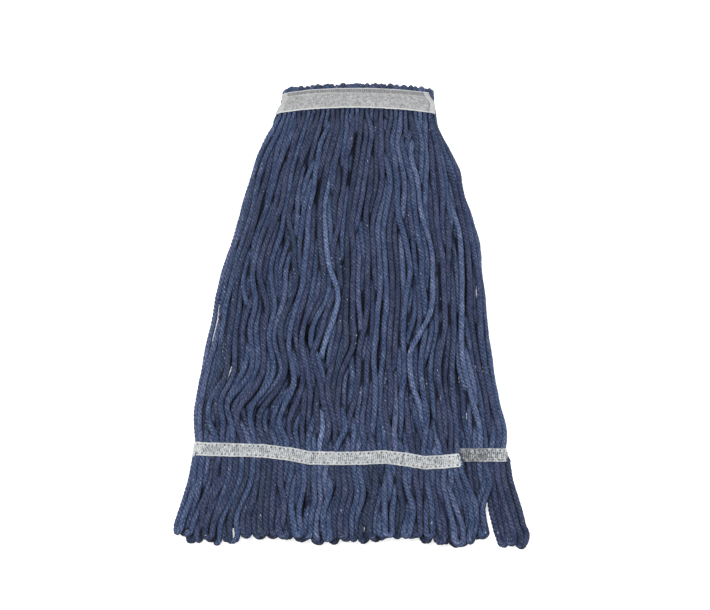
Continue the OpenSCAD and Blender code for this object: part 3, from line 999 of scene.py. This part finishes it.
def band_centre(low, high, left, right, under):
    """Middle line of the headband's cloth: round the left end and over the yarn."""
    mid, rise = (low + high) / 2, (high - low) / 2
    turn_from, drop_from = left + WRAP_R, right - 3.5
    angle = np.linspace(-math.pi / 2, math.pi / 2, 40)
    turn_x, turn_z = turn_from - WRAP_R * np.cos(angle), mid + rise * np.sin(angle)
    start = np.linspace(turn_from + under, turn_from, 12)[:-1]
    over = np.linspace(turn_from, drop_from, 300)[1:]
    drop = np.linspace(0, math.pi * 0.45, 12)[1:]
    x = np.concatenate([start, turn_x, over, drop_from + END_R * np.sin(drop)])
    z = np.concatenate([np.full(len(start), low), turn_z, np.full(len(over), high),
                        high - END_R * (1 - np.cos(drop))])
    y = np.full(len(x), BAND_HI[1] - BAND_W / 2)
    return crown(np.stack([x, y, z], axis=-1))


def band_end(u, v, length):
    """The headband's right end is folded under on a slant."""
    slant = 8.5 * smooth((v + 4) / 17) * smooth((u - length + 60) / 60)
    return u - slant, v


centre = band_centre(CORE_LO[2] - 0.5, BAND_HI[2] - 0.4, BAND_LO[0], BAND_HI[0], 12)
piece = webbing("headband_outer", centre, BAND_W, 0.7, band_pattern, band_look, shape=band_end,
                carry=onto_head)
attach(piece, "headband")
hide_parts("headband_outer_webbing")
run = strip_frame(centre)[0][-1]
lead = run - BAND_LEN - 2
rows = {
    "upper": [[(u, 5.6), (u + 2.6, 5.6)] for u in np.arange(lead + 4, run - 12, BAND_PITCH)],
    "lower": [[(u, -9.4), (u + 2.6, -9.4)] for u in np.arange(lead + 4, run - 6, BAND_PITCH)],
    "zigzag": [[(u, -4 + 4 * (k % 2)), (u + 2.2, 0 - 4 * (k % 2))]
               for k, u in enumerate(np.arange(lead + 6, run - 14, ZIGZAG_PITCH))],
}
for row, ends in rows.items():
    piece = stitches(f"headband_{row}_thread", centre, ends, 0.5, 0.27, thread_look)
    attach(piece, "headband")
    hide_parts(f"headband_{row}_stitching")

inner_lo, inner_hi = node_box("headband_inner_webbing")
x = np.linspace(inner_lo[0] + 4, inner_hi[0] - 4, 200)
centre = crown(np.stack([x, np.full(200, (inner_lo[1] + inner_hi[1]) / 2),
                         np.full(200, inner_lo[2] + 0.4)], axis=-1))
centre[:, 1] = (inner_lo[1] + inner_hi[1]) / 2
piece = webbing("headband_inner", centre, inner_hi[1] - inner_lo[1] - 1, 0.5, band_pattern,
                band_look, step=0.9)
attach(piece, "headband")
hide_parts("headband_inner_webbing")
strip_frame(centre)[0][-1] * MM

# ---------------------------------------------------------------- floor, light and camera

LOOK_AT = (0.0025, 0.0, 0.020)
DISTANCE = 2.5
ELEVATION = math.radians(65)
FOCAL_WIDTHS = 3.49718       # focal length in widths of the picture


def plane(name, size, at):
    half = size / 2
    verts = np.array([[-half, -half, 0], [half, -half, 0], [half, half, 0], [-half, half, 0]])
    obj = make_mesh(name, verts / MM, [np.array([[0, 1, 2, 3]])], floor_material())
    obj.location = at
    return obj


def area_light(name, at, size, watts, aim=(0, 0, 0)):
    data = bpy.data.lights.new(name, "AREA")
    data.shape = "DISK"
    data.size, data.energy = size, watts
    obj = bpy.data.objects.new(name, data)
    bpy.context.scene.collection.objects.link(obj)
    obj.location = at
    away = np.array(at, float) - np.array(aim, float)
    obj.rotation_euler = (math.acos(away[2] / np.linalg.norm(away)), 0,
                          math.atan2(away[0], -away[1]))
    return obj


def studio():
    plane("floor", 12.0, (0, 0, -0.0005))
    world = bpy.data.worlds.new("studio")
    world.use_nodes = True
    world.node_tree.nodes["Background"].inputs[0].default_value = (1, 1, 1, 1)
    world.node_tree.nodes["Background"].inputs[1].default_value = 1.0
    bpy.context.scene.world = world
    bpy.context.scene.view_settings.view_transform = "Standard"
    area_light("key", (-0.45, -0.55, 2.3), 0.6, 36)
    area_light("fill", (1.2, -0.6, 1.8), 1.2, 4)


def camera():
    data = bpy.data.cameras.new("camera")
    data.lens = data.sensor_width * FOCAL_WIDTHS
    obj = bpy.data.objects.new("camera", data)
    bpy.context.scene.collection.objects.link(obj)
    obj.location = (LOOK_AT[0], LOOK_AT[1] - DISTANCE * math.cos(ELEVATION),
                    LOOK_AT[2] + DISTANCE * math.sin(ELEVATION))
    obj.rotation_euler = (math.pi / 2 - ELEVATION, 0, 0)
    bpy.context.scene.camera = obj


studio()
camera()
